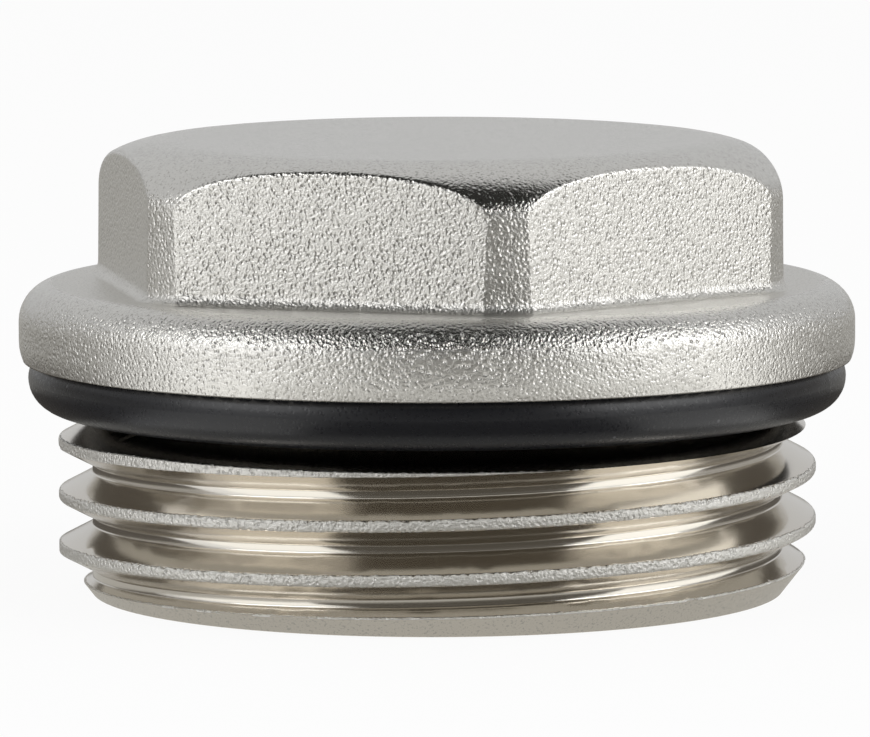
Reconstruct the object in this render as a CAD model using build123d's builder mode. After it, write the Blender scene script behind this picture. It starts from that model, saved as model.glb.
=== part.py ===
"""Manifold end plug with a G 1 male thread, a hexagon head, a round flange and an O-ring.

The plug stands on its thread end: +Z is up, the origin is the centre of the end ring.
All sizes are in millimetres.
"""

import os
from math import radians, sqrt, tan

from build123d import *

# Pipe thread, G 1: eleven threads to the inch, 55 degrees between the flanks
inch = 25.4
threads_per_inch = 11
thread_pitch = inch / threads_per_inch
thread_major_diameter = 33.2
thread_depth = 1.48
thread_half_angle = 27.5
thread_crest_flat = 0.42
# Height of the lowest crest's middle over the +X axis, which sets where the thread starts
thread_crest_height = 0.745

# Nose of the thread, chamfered almost down to the root
end_chamfer_angle = 38.0
end_face_margin = 0.03

# O-ring, and the clearance of the seat that is turned for it under the flange
o_ring_outer_diameter = 35.8
o_ring_section = 2.8
o_ring_drop = 0.79
seat_clearance = 0.05

# Cone where the thread runs out, and the bare neck between it and the O-ring
run_out_slope = 2.0
neck_land = 0.185

# Flange, a forged disc with a barrel-shaped rim that reaches past the O-ring
flange_overhang = 0.4
flange_underside_height = 10.25
flange_thickness = 3.39
flange_low_rise = 0.85
flange_low_radius = 2.27
flange_top_radius = 1.7

# Hexagon head on the flat of the flange, with an elliptical crown and blunt corners
head_sides = 6
head_height = 6.21
head_land = 0.55
head_root_radius = 0.5
head_corner_cut = 0.558
head_draft = 1.0
crown_width = 4.0
crown_drop = 2.35
head_edge_radius = 0.3

# Cored hollow, open at the thread end
nose_wall = 3.15
crown_wall = 4.85
hollow_mouth_chamfer = 0.5
hollow_draft = 3.0
hollow_end_chamfer = 2.0

# Thread sizes that follow
thread_radius = thread_major_diameter / 2
thread_root_radius = thread_radius - thread_depth
flank_spread = tan(radians(thread_half_angle))
thread_root_flat = thread_pitch - thread_crest_flat - 2 * thread_depth * flank_spread
end_face_radius = thread_root_radius + end_face_margin
nose_height = (thread_radius - end_face_radius) / tan(radians(end_chamfer_angle))

# O-ring, seat and neck sizes that follow
o_ring_mid_radius = (o_ring_outer_diameter - o_ring_section) / 2
o_ring_height = flange_underside_height - o_ring_drop
seat_reach = o_ring_section / 2 + seat_clearance
seat_floor_height = o_ring_height + seat_reach
seat_floor_radius = o_ring_mid_radius + seat_reach * (sqrt(2) - 1)
seat_lip_radius = seat_floor_radius + seat_floor_height - flange_underside_height
neck_radius = o_ring_mid_radius - seat_reach
run_out_top = o_ring_height - o_ring_section / 2 - neck_land
run_out_height = run_out_top - abs(thread_radius - neck_radius) / run_out_slope

# Flange sizes that follow
flange_radius = o_ring_outer_diameter / 2 + flange_overhang
flange_widest_height = flange_underside_height + flange_low_rise
flange_low_edge = flange_radius - flange_low_radius + sqrt(flange_low_radius**2 - flange_low_rise**2)
flange_top_height = flange_underside_height + flange_thickness
flange_shoulder_height = flange_top_height - flange_top_radius

# Head sizes that follow: the hexagon fills the flange's flat, which makes it 27.9 across flats
head_corner_radius = flange_radius - flange_top_radius - head_land - head_root_radius
head_across_flats = (head_corner_radius + head_corner_cut) * sqrt(3)
head_top_height = flange_top_height + head_height
crown_height = head_top_height - crown_drop

# Hollow sizes that follow from the walls around it
hollow_mouth_radius = end_face_radius - nose_wall
hollow_depth = head_top_height - crown_wall
hollow_end_radius = hollow_mouth_radius - hollow_depth * tan(radians(hollow_draft))

# The groove's cutter starts below the nose and ends beside the O-ring, in the open seat
groove_turns_below = 1.5
groove_start = thread_crest_height - groove_turns_below * thread_pitch
groove_end = o_ring_height - o_ring_section / 4
groove_mouth_radius = thread_radius + thread_depth / 8
groove_mouth_flat = thread_root_flat + 2 * (groove_mouth_radius - thread_root_radius) * flank_spread

with BuildPart() as plug_body:
    # Forged hexagon with draft, cut to the rounded crown and the blunt corners
    with BuildSketch(Plane.XY.offset(flange_top_height)):
        RegularPolygon(head_across_flats / 2, head_sides, major_radius=False)
    extrude(amount=head_height, taper=head_draft)
    with BuildSketch(Plane.XZ):
        with BuildLine():
            EllipticalCenterArc((head_corner_radius - crown_width, crown_height), crown_width, crown_drop)
            Polyline(
                (head_corner_radius - crown_width, head_top_height),
                (0, head_top_height),
                (0, flange_top_height),
                (head_corner_radius, flange_top_height),
                (head_corner_radius, crown_height),
            )
        make_face()
    revolve(axis=Axis.Z, mode=Mode.INTERSECT)
    side_faces = plug_body.faces().filter_by(GeomType.PLANE).sort_by(SortBy.AREA)[:-2]
    side_range = (flange_top_height, head_top_height)
    side_edges = side_faces.edges().filter_by_position(Axis.Z, *side_range, (False, False))
    fillet(side_edges, head_edge_radius)

    # Flange, O-ring seat, neck and thread blank in one turned profile
    with BuildSketch(Plane.XZ):
        with BuildLine():
            RadiusArc(
                (flange_low_edge, flange_underside_height),
                (flange_radius, flange_widest_height),
                -flange_low_radius,
            )
            Line((flange_radius, flange_widest_height), (flange_radius, flange_shoulder_height))
            RadiusArc(
                (flange_radius, flange_shoulder_height),
                (flange_radius - flange_top_radius, flange_top_height),
                -flange_top_radius,
            )
            Polyline(
                (flange_radius - flange_top_radius, flange_top_height),
                (0, flange_top_height),
                (0, 0),
                (end_face_radius, 0),
                (thread_radius, nose_height),
                (thread_radius, run_out_height),
                (neck_radius, run_out_top),
                (neck_radius, seat_floor_height),
                (seat_floor_radius, seat_floor_height),
                (seat_lip_radius, flange_underside_height),
                (flange_low_edge, flange_underside_height),
            )
        make_face()
    revolve(axis=Axis.Z)
    flange_top_edges = plug_body.edges().filter_by_position(Axis.Z, flange_top_height, flange_top_height)
    fillet(flange_top_edges.sort_by(SortBy.LENGTH)[:-1], head_root_radius)

    # Hollow left by the core, with draft and a broken end
    with BuildSketch(Plane.XZ) as hollow:
        with BuildLine():
            Polyline(
                (0, 0),
                (hollow_mouth_radius + hollow_mouth_chamfer, 0),
                (hollow_mouth_radius, hollow_mouth_chamfer),
                (hollow_end_radius, hollow_depth),
                (0, hollow_depth),
                close=True,
            )
        make_face()
        end_corner = hollow.vertices().sort_by_distance((hollow_end_radius, hollow_depth))[0]
        chamfer(end_corner, hollow_end_chamfer)
    revolve(axis=Axis.Z, mode=Mode.SUBTRACT)

    # Right-hand thread groove
    with BuildLine() as groove_path:
        Helix(thread_pitch, groove_end - groove_start, thread_root_radius, center=(0, 0, groove_start))
    with BuildSketch(Plane.XZ):
        with BuildLine():
            Polyline(
                (thread_root_radius, groove_start - thread_root_flat / 2),
                (groove_mouth_radius, groove_start - groove_mouth_flat / 2),
                (groove_mouth_radius, groove_start + groove_mouth_flat / 2),
                (thread_root_radius, groove_start + thread_root_flat / 2),
                close=True,
            )
        make_face()
    sweep(path=groove_path.line, is_frenet=True, mode=Mode.SUBTRACT)
plug_body.part.label = "plug_body"

with BuildPart() as o_ring:
    with BuildSketch(Plane.XZ):
        with Locations((o_ring_mid_radius, o_ring_height)):
            Circle(o_ring_section / 2)
    revolve(axis=Axis.Z)
o_ring.part.label = "o_ring"

os.makedirs("parts", exist_ok=True)
export_step(plug_body.part, "parts/plug_body.step")
export_step(o_ring.part, "parts/o_ring.step")
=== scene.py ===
# %% [markdown]
# # A manifold end plug
# The object is a short threaded plug: a grit-blasted forged hexagon and flange, a cut pipe thread below
# them, and a black rubber ring in between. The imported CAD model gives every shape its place, in metres,
# so this lesson loads it first and only then dresses it.

# %% Load the CAD frame
import math

import bmesh
import bpy
from mathutils import Matrix, Vector


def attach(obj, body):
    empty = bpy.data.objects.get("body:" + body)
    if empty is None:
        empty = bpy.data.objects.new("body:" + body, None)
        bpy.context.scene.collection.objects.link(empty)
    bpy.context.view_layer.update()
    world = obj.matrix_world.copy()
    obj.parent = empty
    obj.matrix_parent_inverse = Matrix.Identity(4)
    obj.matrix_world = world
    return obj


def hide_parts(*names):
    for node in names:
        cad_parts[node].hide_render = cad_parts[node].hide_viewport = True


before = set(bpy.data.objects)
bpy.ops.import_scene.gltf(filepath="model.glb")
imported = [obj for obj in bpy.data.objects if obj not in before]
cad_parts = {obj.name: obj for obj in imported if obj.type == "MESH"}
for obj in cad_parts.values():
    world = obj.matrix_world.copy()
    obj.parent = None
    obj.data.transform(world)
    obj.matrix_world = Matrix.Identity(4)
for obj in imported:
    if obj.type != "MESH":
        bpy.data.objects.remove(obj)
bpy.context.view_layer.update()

# %% [markdown]
# ## The camera
# A long lens from a little above keeps the upright edges almost parallel, as in a catalogue picture.
# Position and aim follow from the distance, the height and the turn round the plug's axis, so one of them
# can be changed without upsetting the others.

# %% Camera
def add_object(name, data):
    made = bpy.data.objects.new(name, data)
    bpy.context.scene.collection.objects.link(made)
    return made


axis_distance = 0.340
eye_height = 0.04719
eye_azimuth = math.radians(18.9 - 90)
aim_height = 0.0097
aim_sideways = 0.00009
roll = math.radians(-0.15)

eye = Vector((axis_distance * math.cos(eye_azimuth), axis_distance * math.sin(eye_azimuth), eye_height))
rightwards = Vector((-math.sin(eye_azimuth), math.cos(eye_azimuth), 0))
aim = Vector((0, 0, aim_height)) - rightwards * aim_sideways
camera_data = bpy.data.cameras.new("product_camera")
camera_data.sensor_width = 36
camera_data.lens = 322.9
camera = add_object("product_camera", camera_data)
camera.location = eye
camera.rotation_euler = (aim - eye).to_track_quat("-Z", "Y").to_euler()
camera.rotation_euler.rotate_axis("Z", roll)
bpy.context.scene.camera = camera
print("camera at", [round(c, 4) for c in eye])

# %% [markdown]
# ## Helpers for shader nodes
# A material is a small graph. The first helper adds one node, sets its options and fills its inputs: a
# socket is linked, anything else becomes the input's own value. The others shorten what comes up most: a
# sum, a soft step from one value to another, a mix of two colours, and a new material with its graph.

# %% Node helpers
def add_node(tree, kind, inputs=(), **options):
    made = tree.nodes.new(kind)
    for name, value in options.items():
        setattr(made, name, value)
    for key, value in dict(inputs).items():
        if isinstance(value, bpy.types.NodeSocket):
            tree.links.new(value, made.inputs[key])
        else:
            made.inputs[key].default_value = value
    return made


def calculate(tree, operation, first, second=0.0, third=0.0):
    return add_node(tree, "ShaderNodeMath", {0: first, 1: second, 2: third}, operation=operation).outputs[0]


def step_between(tree, value, low, high, to_low=0.0, to_high=1.0):
    limits = {"Value": value, "From Min": low, "From Max": high, "To Min": to_low, "To Max": to_high}
    return add_node(tree, "ShaderNodeMapRange", limits, interpolation_type="SMOOTHSTEP").outputs["Result"]


def mix_colours(tree, share, first, second):
    colours = {0: share, 6: first, 7: second}
    return add_node(tree, "ShaderNodeMix", colours, data_type="RGBA").outputs[2]


def new_material(name):
    material = bpy.data.materials.new(name)
    material.use_nodes = True
    return material, material.node_tree


# %% [markdown]
# ## Grain
# Grit blasting leaves a skin of soft bumps about a tenth of a millimetre across, with small hollows between
# them. The rubber has the same kind of skin, only flatter, so the grain is one node group with a size input
# that both materials use. It puts out a height for a Bump node and a mask of the deepest spots, which the
# nickel material uses to paint shade into the hollows.

# %% Grain group
grain = bpy.data.node_groups.new("blasted_grain", "ShaderNodeTree")
grain.interface.new_socket("Place", in_out="INPUT", socket_type="NodeSocketVector")
grain.interface.new_socket("Bumps per Metre", in_out="INPUT", socket_type="NodeSocketFloat")
grain.interface.new_socket("Height", in_out="OUTPUT", socket_type="NodeSocketFloat")
grain.interface.new_socket("Pits", in_out="OUTPUT", socket_type="NodeSocketFloat")
grain_in = grain.nodes.new("NodeGroupInput")
grain_out = grain.nodes.new("NodeGroupOutput")
place, per_metre = grain_in.outputs["Place"], grain_in.outputs["Bumps per Metre"]

noise = {"Vector": place, "Scale": per_metre, "Detail": 3.0, "Roughness": 0.55}
soft = add_node(grain, "ShaderNodeTexNoise", noise).outputs["Fac"]
cells = {"Vector": place, "Scale": calculate(grain, "MULTIPLY", per_metre, 0.55)}
cell_distance = add_node(grain, "ShaderNodeTexVoronoi", cells, feature="F1").outputs["Distance"]
hollows = step_between(grain, cell_distance, 0.02, 0.55)
relief = calculate(grain, "MULTIPLY_ADD", hollows, 0.45, calculate(grain, "MULTIPLY", soft, 0.70))
grain.links.new(relief, grain_out.inputs["Height"])
grain.links.new(step_between(grain, soft, 0.46, 0.33), grain_out.inputs["Pits"])
print("grain group has", len(grain.nodes), "nodes")

# %% [markdown]
# ## Nickel-plated brass
# One plating covers two very different skins. The flange and the head keep the blasted grain of the
# forging, and so do the crests of the thread, while the flanks, the roots, the seat and the nose were cut
# and are smooth. Where each skin lies follows from three values: the height, the distance to the axis, and
# how far the surface faces upwards. They come from Object coordinates and the normal, so no picture is
# needed.

# %% Nickel: places on the plug
nickel, tree = new_material("nickel_plating")
coords = add_node(tree, "ShaderNodeTexCoord").outputs["Object"]
east, north, height = add_node(tree, "ShaderNodeSeparateXYZ", {"Vector": coords}).outputs
east_squared = calculate(tree, "MULTIPLY", east, east)
radius = calculate(tree, "SQRT", calculate(tree, "MULTIPLY_ADD", north, north, east_squared))
normal = add_node(tree, "ShaderNodeNewGeometry").outputs["Normal"]
upward = add_node(tree, "ShaderNodeSeparateXYZ", {"Vector": normal}).outputs["Z"]

# %% [markdown]
# A cut through grain is never clean, so noise is added to the radius before the crests are told from the
# flanks. The lip, where the lowest flank meets the conical nose, is found in the same way: along the cone
# the radius grows by a fixed share of the height, and taking that share away makes the cone one number.

# %% Nickel: forged skin, crests and lip
flange_start = (0.01024, 0.01030)
thread_top = (0.0078, 0.0076)
crest_reach = (0.01662, 0.01666)
nose_slope = 0.7813
lip_reach = (0.01511, 0.01516)
lip_top = (0.0021, 0.0020)
ragged_depth = 0.00022

ragged = add_node(tree, "ShaderNodeTexNoise", {"Vector": coords, "Scale": 4200.0, "Detail": 2.0})
ragged_radius = calculate(tree, "MULTIPLY_ADD", ragged.outputs["Fac"], ragged_depth, radius)
nose_reach = calculate(tree, "MULTIPLY_ADD", height, -nose_slope, ragged_radius)

forged = step_between(tree, height, *flange_start)
thread_crest = calculate(tree, "MULTIPLY", step_between(tree, ragged_radius, *crest_reach),
                         step_between(tree, height, *thread_top))
lip_side = calculate(tree, "MULTIPLY", step_between(tree, height, *lip_top),
                     step_between(tree, upward, -0.5, -0.4))
lip = calculate(tree, "MULTIPLY", step_between(tree, nose_reach, *lip_reach), lip_side)
crest = calculate(tree, "MAXIMUM", thread_crest, lip)
rough_skin = calculate(tree, "MAXIMUM", forged, crest)

# %% [markdown]
# The other places are the crown of the head, the rounded shoulder of the flange and the nose. The faces of
# the crown and the shoulder that look up are the proud ones, where handling rubs the grain bright. The nose
# is told by its tilt.

# %% Nickel: crown, rubbed shoulders and nose
crown_start = (0.0155, 0.0165)
shoulder_end = (0.01364, 0.01358)

crown = step_between(tree, height, *crown_start)
shoulder = step_between(tree, height, *shoulder_end)
proud = calculate(tree, "MULTIPLY", calculate(tree, "MAXIMUM", shoulder, crown), forged)
rubbed = calculate(tree, "MULTIPLY", step_between(tree, upward, 0.15, 0.5), proud)
nose = calculate(tree, "MULTIPLY", step_between(tree, upward, -0.52, -0.58),
                 step_between(tree, upward, -0.72, -0.66))

# %% [markdown]
# Relief is one height for one Bump node. The grain is full on upright forged faces, flatter on level ones,
# strongest on the crests and faint on the nose. The cutting tool's lines run round the axis, so their noise
# reads only the radius and the height.

# %% Nickel: relief
grain_scale = 8500.0
line_scale = 16000.0
relief_depth = 0.000075

skin = add_node(tree, "ShaderNodeGroup", node_tree=grain)
tree.links.new(coords, skin.inputs["Place"])
skin.inputs["Bumps per Metre"].default_value = grain_scale
levelled = calculate(tree, "MULTIPLY_ADD", crown, 0.35, upward)
forged_depth = calculate(tree, "MULTIPLY", step_between(tree, levelled, 0.6, 0.95, 1.0, 0.45), forged)
depth = calculate(tree, "MULTIPLY_ADD", nose, 0.3, forged_depth)
depth = calculate(tree, "MULTIPLY_ADD", crest, 1.7, depth)
grain_height = calculate(tree, "MULTIPLY", skin.outputs["Height"], depth)

line_place = add_node(tree, "ShaderNodeCombineXYZ", {
    "X": calculate(tree, "MULTIPLY", radius, line_scale),
    "Y": calculate(tree, "MULTIPLY", height, line_scale),
})
line_noise = {"Vector": line_place.outputs[0], "Scale": 1.0, "Detail": 2.0}
lines = add_node(tree, "ShaderNodeTexNoise", line_noise).outputs["Fac"]
skin_height = calculate(tree, "ADD", grain_height, calculate(tree, "MULTIPLY", lines, 0.012))
bump = add_node(tree, "ShaderNodeBump", {"Strength": 1.0, "Distance": relief_depth, "Height": skin_height})

# %% [markdown]
# The plating is a little yellower where it lies on cut brass than on the blasted skin. The deepest spots of
# the grain, on the forged skin and more faintly on the nose, are darkened towards grey as painted shade.
# Roughness follows the skin: smooth where it was cut, matt where it was blasted, and brighter again where
# the shoulders are rubbed.

# %% Nickel: colour and gloss
cut_plate = (0.74, 0.705, 0.645, 1)
blasted_plate = (0.75, 0.74, 0.71, 1)
pit_painted_shade = (0.52, 0.51, 0.48, 1)

# Painted shade: the hollows of the grain are darkened towards grey on the forged skin and more faintly on the
# nose.
pit_shade_places = calculate(tree, "MULTIPLY_ADD", nose, 0.7, forged)
pit_shade_share = calculate(tree, "MULTIPLY", skin.outputs["Pits"], pit_shade_places)
plate = mix_colours(tree, rough_skin, cut_plate, blasted_plate)
matt = calculate(tree, "MULTIPLY_ADD", rough_skin, 0.20, 0.14)
matt = calculate(tree, "MULTIPLY_ADD", nose, 0.12, matt)
matt = calculate(tree, "MULTIPLY_ADD", crest, 0.15, matt)
matt = calculate(tree, "MULTIPLY_ADD", rubbed, -0.19, matt)

shader = tree.nodes["Principled BSDF"]
tree.links.new(bump.outputs["Normal"], shader.inputs["Normal"])
tree.links.new(mix_colours(tree, pit_shade_share, plate, pit_painted_shade), shader.inputs["Base Color"])
tree.links.new(matt, shader.inputs["Roughness"])
shader.inputs["Metallic"].default_value = 1.0
print("nickel material has", len(tree.nodes), "nodes")

# %% [markdown]
# ## Rubber
# The ring is black moulded rubber with a satin skin. Its grain is much flatter than that of the forging,
# and a few pale specks of dust stick to it, as they do to any rubber. A speck is the middle of a Voronoi
# cell, and the cell's random colour decides whether there is one and how large it is.

# %% Rubber material
ring_black = (0.009, 0.0095, 0.012, 1)
dust_grey = (0.07, 0.07, 0.075, 1)

rubber, tree = new_material("black_rubber_skin")
coords = add_node(tree, "ShaderNodeTexCoord").outputs["Object"]
skin = add_node(tree, "ShaderNodeGroup", node_tree=grain)
tree.links.new(coords, skin.inputs["Place"])
skin.inputs["Bumps per Metre"].default_value = 9000.0
ring_relief = {"Strength": 1.0, "Distance": 0.000006, "Height": skin.outputs["Height"]}
bump = add_node(tree, "ShaderNodeBump", ring_relief)
specks = add_node(tree, "ShaderNodeTexVoronoi", {"Vector": coords, "Scale": 900.0})
chance = add_node(tree, "ShaderNodeSeparateColor", {"Color": specks.outputs["Color"]}).outputs["Red"]
speck_size = calculate(tree, "MULTIPLY", step_between(tree, chance, 0.55, 1.0), 0.09)
inside = calculate(tree, "SUBTRACT", speck_size, specks.outputs["Distance"])
dust = step_between(tree, inside, 0.0, 0.02)
satin = step_between(tree, skin.outputs["Height"], 0.4, 0.9, 0.25, 0.34)

shader = tree.nodes["Principled BSDF"]
tree.links.new(bump.outputs["Normal"], shader.inputs["Normal"])
tree.links.new(mix_colours(tree, dust, ring_black, dust_grey), shader.inputs["Base Color"])
tree.links.new(satin, shader.inputs["Roughness"])
shader.inputs["Specular IOR Level"].default_value = 0.42
print("rubber material has", len(tree.nodes), "nodes")

# %% [markdown]
# ## The plug's body
# The CAD solid is exact, but its thread has sharp edges, and a cut pipe thread never has. The piece starts
# as a merged copy of the CAD mesh, and then the long edges of the crests, the roots and the lip are
# bevelled. An edge belongs to one of them if it lies on the right cylinder or cone, between a flank and
# the band beside it. Where that band or the flank runs out into nothing there is no room for a bevel, so
# the edge is left out there.

# %% Copy the solid
body_form = bmesh.new()
body_form.from_mesh(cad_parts["plug_body"].data)
bmesh.ops.remove_doubles(body_form, verts=body_form.verts[:], dist=1e-6)
print("merged copy has", len(body_form.verts), "corners")

# %% Find the thread's edges
place_slack = 1e-5
tilt_slack = 0.1
flank_tilt = 0.8


def thread_edges(form, reach, slope=0.0, tilt=0.0, band_width=0.0, flank_width=0.0, lowest=-1.0, highest=1.0):
    form.normal_update()
    found = []
    for edge in form.edges:
        sides = sorted(edge.link_faces, key=lambda face: abs(face.normal.z))
        reaches = [math.hypot(vert.co.x, vert.co.y) - slope * vert.co.z for vert in edge.verts]
        if len(sides) != 2 or any(abs(measured - reach) > place_slack for measured in reaches):
            continue
        if abs(sides[0].normal.z - tilt) > tilt_slack or abs(sides[1].normal.z) < flank_tilt:
            continue
        band, flank = (2 * side.calc_area() / edge.calc_length() for side in sides)
        heights = [vert.co.z for vert in sides[0].verts]
        if band > band_width and flank > flank_width and min(heights) > lowest and max(heights) < highest:
            found.append(edge)
    return found


# %% Pick crests, roots and lip
crest_radius = 0.0166
root_radius = 0.01512
nose_foot_radius = 0.01515
nose_tilt = -0.616
lip_end = 0.0017


def on_lip(edge):
    faces_up = max(face.normal.z for face in edge.link_faces) > flank_tilt
    return faces_up and max(vert.co.z for vert in edge.verts) < lip_end


crest_edges = thread_edges(body_form, crest_radius, band_width=0.00041, flank_width=0.0004,
                           lowest=0.00195, highest=0.0069)
root_edges = thread_edges(body_form, root_radius, band_width=0.00034, flank_width=0.0003, lowest=0.0)
nose_edges = thread_edges(body_form, nose_foot_radius, slope=nose_slope, tilt=nose_tilt,
                          band_width=0.00025, flank_width=0.0006)
lip_edges = [edge for edge in nose_edges if on_lip(edge)]
print("edges:", len(crest_edges), "on crests,", len(root_edges), "in roots,", len(lip_edges), "on the lip")

# %% Round them
crest_rounding = 0.00012
root_rounding = 0.00005
lip_rounding = 0.00007

roundings = ((crest_edges, crest_rounding), (root_edges, root_rounding), (lip_edges, lip_rounding))

for edges, rounding in roundings:
    whole = [edge for edge in edges if edge.is_valid]
    bmesh.ops.bevel(body_form, geom=whole, offset=rounding, offset_type="OFFSET", segments=5, profile=0.5,
                    affect="EDGES", clamp_overlap=False, material=-1)
    print(len(whole), "edges rounded by", rounding)

# %% [markdown]
# A bevel adds its faces in an order that can change from run to run. Sorting corners and faces by their
# place makes the finished mesh the same each time.

# %% Make the body's mesh
bmesh.ops.recalc_face_normals(body_form, faces=body_form.faces[:])
for rank, vert in enumerate(sorted(body_form.verts, key=lambda vert: tuple(vert.co))):
    vert.index = rank
for rank, face in enumerate(sorted(body_form.faces, key=lambda face: tuple(face.calc_center_median()))):
    face.index = rank
body_form.verts.sort()
body_form.faces.sort()
body_mesh = bpy.data.meshes.new("forged_plug")
body_form.to_mesh(body_mesh)
body_form.free()
print("body has", len(body_mesh.polygons), "faces")

# %% [markdown]
# Smooth shading alone would bend the light over the big flats, because each flat shares its corners with
# narrow roundings. The sharp edges are marked by angle, and a Weighted Normal modifier lets the large
# faces decide how the light turns at the shared corners.

# %% Shade the body and put it in place
body_mesh.shade_smooth()
body_mesh.set_sharp_from_angle(angle=math.radians(19))
body_mesh.materials.append(nickel)
forged_plug = add_object("forged_plug", body_mesh)
weighting = forged_plug.modifiers.new("weighting", "WEIGHTED_NORMAL")
weighting.mode = "FACE_AREA"
weighting.weight = 100
weighting.keep_sharp = True
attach(forged_plug, "root")
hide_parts("plug_body")
print("forged_plug stands for plug_body")

# %% [markdown]
# ## The ring
# The rubber ring is a plain torus, and the CAD mesh is already fine enough for it, so it only gets its
# material.

# %% Dress the rubber ring
ring_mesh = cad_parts["o_ring"].data
ring_mesh.materials.clear()
ring_mesh.materials.append(rubber)
print("rubber ring:", len(ring_mesh.polygons), "triangles")

# %% [markdown]
# ## Floor
# The plug stands on a white table that fills the whole view. Seen by the camera or in a reflection it
# glows, which keeps it white without more light on the metal, and the rest of its brightness is plain
# diffuse white, which takes the plug's shadow.

# %% Floor
floor_radius = 1.2
glow_share = 0.92

floor_form = bmesh.new()
bmesh.ops.create_circle(floor_form, cap_ends=True, segments=96, radius=floor_radius)
floor_mesh = bpy.data.meshes.new("table")
floor_form.to_mesh(floor_mesh)
floor_form.free()

white, tree = new_material("table_white")
tree.nodes.clear()
path = add_node(tree, "ShaderNodeLightPath")
seen = calculate(tree, "MAXIMUM", path.outputs["Is Camera Ray"], path.outputs["Is Glossy Ray"])
seen = calculate(tree, "MAXIMUM", seen, path.outputs["Is Transmission Ray"])
plain = add_node(tree, "ShaderNodeBsdfDiffuse", {"Color": (0.90, 0.90, 0.90, 1)})
glow = add_node(tree, "ShaderNodeEmission", {"Color": (1, 1, 1, 1), "Strength": 1.0})
share = calculate(tree, "MULTIPLY", seen, glow_share)
mixed = add_node(tree, "ShaderNodeMixShader", {0: share, 1: plain.outputs[0], 2: glow.outputs[0]})
add_node(tree, "ShaderNodeOutputMaterial", {"Surface": mixed.outputs[0]})
floor_mesh.materials.append(white)
table = add_object("table", floor_mesh)
print("table radius", floor_radius, "m")

# %% [markdown]
# ## Screens
# Bare metal shows its surroundings, so a photographer shapes those as carefully as the light, with screens
# and cards of paper. Each one here is a bent line spun about the plug's axis, turned to the camera, and
# only reflections see it. Its tone is what the metal mirrors.

# %% Screen helpers
def set_screen(name, form, tone):
    bmesh.ops.rotate(form, verts=form.verts[:], cent=(0, 0, 0), matrix=Matrix.Rotation(eye_azimuth, 3, "Z"))
    mesh = bpy.data.meshes.new(name)
    form.to_mesh(mesh)
    form.free()
    paint, tree = new_material(name)
    tree.nodes.clear()
    shade = add_node(tree, "ShaderNodeEmission", {"Color": (*tone, 1), "Strength": 1.0})
    add_node(tree, "ShaderNodeOutputMaterial", {"Surface": shade.outputs[0]})
    mesh.materials.append(paint)
    screen = add_object(name, mesh)
    screen.visible_camera = screen.visible_transmission = False
    screen.visible_diffuse = screen.visible_shadow = False
    print(name, "has", len(mesh.polygons), "faces")


def bent_round(outline, start, sweep):
    form = bmesh.new()
    corners = [form.verts.new((reach, 0, height)) for reach, height in outline]
    bends = [form.edges.new(pair) for pair in zip(corners, corners[1:])]
    bmesh.ops.rotate(form, verts=corners, cent=(0, 0, 0), matrix=Matrix.Rotation(math.radians(start), 3, "Z"))
    bmesh.ops.spin(form, geom=corners + bends, cent=(0, 0, 0), axis=(0, 0, 1), dvec=(0, 0, 0),
                   angle=math.radians(sweep), steps=32, use_merge=sweep == 360)
    return form


# %% [markdown]
# The camera's side is dark, from the floor up and over the plug, which draws the dark stripe down the
# middle of the thread and the dark arcs on the crown and the flange. A small bright card just below the
# flange keeps the flange's lower side grey, because that side would mirror the dark floor too.

# %% Dark front
low = 0.000008
front = (-28, 71)
shade_black = (0.03, 0.03, 0.028)

front_arch = [(0.45, 0.20), (0.45, 0.25), (0.30, 0.42), (0.06, 0.50)]
set_screen("front_arch", bent_round(front_arch, *front), shade_black)
set_screen("front_wall", bent_round([(0.45, low), (0.45, 0.20)], *front), (0.11, 0.10, 0.086))
set_screen("front_floor", bent_round([(0.105, low), (0.45, low)], *front), (0.15, 0.145, 0.13))
set_screen("rim_card", bent_round([(0.0192, 0.0092), (0.0245, 0.0092)], *front), (0.75, 0.74, 0.71))
set_screen("front_screen", bent_round([(0.016, low), (0.105, low)], *front), (0.092, 0.084, 0.071))

# %% [markdown]
# A white card lies on the floor on either side of the dark front. They make the two bright strips on the
# thread and light up the flats of the hexagon. Low walls beyond them end the strips on the flanks, a grey
# floor lies behind, and a ring of grey round the foot keeps the nose from mirroring white.

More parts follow.
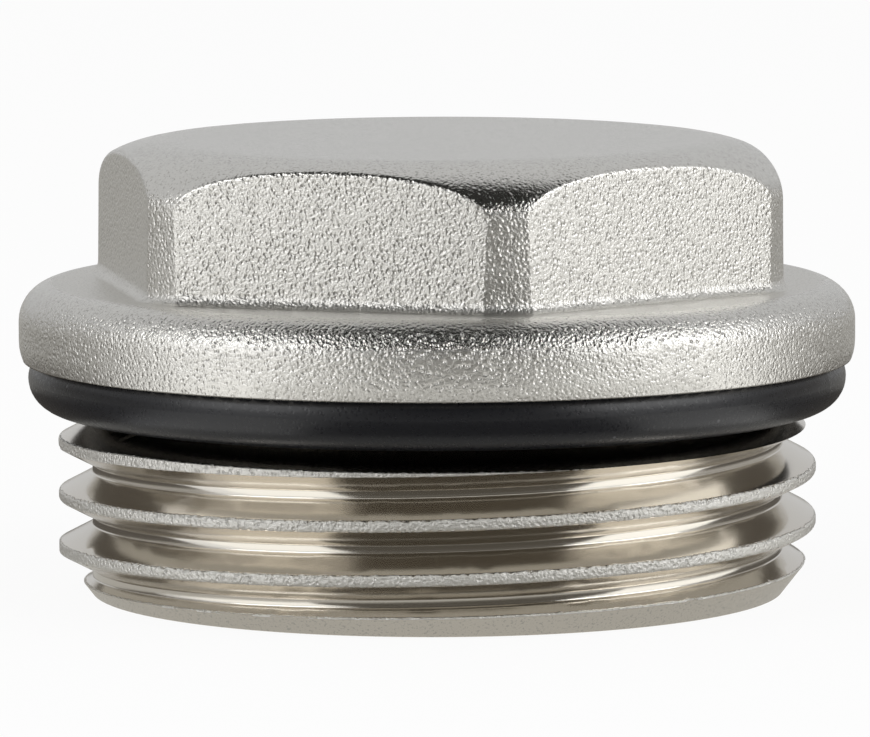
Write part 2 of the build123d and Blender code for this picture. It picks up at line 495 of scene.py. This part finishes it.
# %% Cards, walls and back
card = [(0.022, low), (0.9, low)]
wall = [(0.9, low), (0.9, 0.20)]
behind = (84, 202)

set_screen("left_card", bent_round(card, -62, 34), (1.25, 1.24, 1.20))
set_screen("right_card", bent_round(card, 43, 41), (1.35, 1.34, 1.30))
set_screen("left_wall", bent_round(wall, -136, 52), (0.20, 0.185, 0.16))
set_screen("right_wall", bent_round(wall, 95, 45), (0.26, 0.24, 0.21))
set_screen("back_screen", bent_round([(0.06, low), (0.9, low)], *behind), (0.42, 0.41, 0.385))
set_screen("near_screen", bent_round([(0.016, low), (0.06, low)], *behind), (0.11, 0.10, 0.088))
set_screen("foot_shade", bent_round([(0.010, 2 * low), (0.022, 2 * low)], 0, 360), (0.48, 0.47, 0.44))

# %% [markdown]
# The level faces mirror what hangs above the plug, so the dark arch is closed by a round black ceiling on
# the camera's side.

# %% Ceiling
ceiling = bmesh.new()
bmesh.ops.create_circle(ceiling, cap_ends=True, segments=48, radius=0.45)
bmesh.ops.translate(ceiling, verts=ceiling.verts[:], vec=(0.29, 0, 0.52))
set_screen("ceiling", ceiling, shade_black)

# %% [markdown]
# ## Light
# Two large soft boxes stand at the front left and front right, and an even grey world fills in the rest.
# Together they light a white surface to about white, and no more.

# %% Soft boxes and world
def soft_box(name, azimuth, distance, height, size, power):
    data = bpy.data.lights.new(name, "AREA")
    data.shape = "RECTANGLE"
    data.size, data.size_y = size
    data.energy = power
    lamp = add_object(name, data)
    turn = eye_azimuth + math.radians(azimuth)
    lamp.location = (distance * math.cos(turn), distance * math.sin(turn), height)
    lamp.rotation_euler = (Vector((0, 0, 0.01)) - lamp.location).to_track_quat("-Z", "Y").to_euler()
    print(name, power, "W")


soft_box("left_box", -56, 0.53, 0.27, (0.38, 0.32), 0.88)
soft_box("right_box", 66, 0.53, 0.27, (0.46, 0.32), 1.25)

world = bpy.data.worlds.new("studio")
bpy.context.scene.world = world
world.use_nodes = True
world.node_tree.nodes["Background"].inputs["Color"].default_value = (0.60, 0.60, 0.60, 1)
bpy.context.scene.view_settings.view_transform = "Standard"
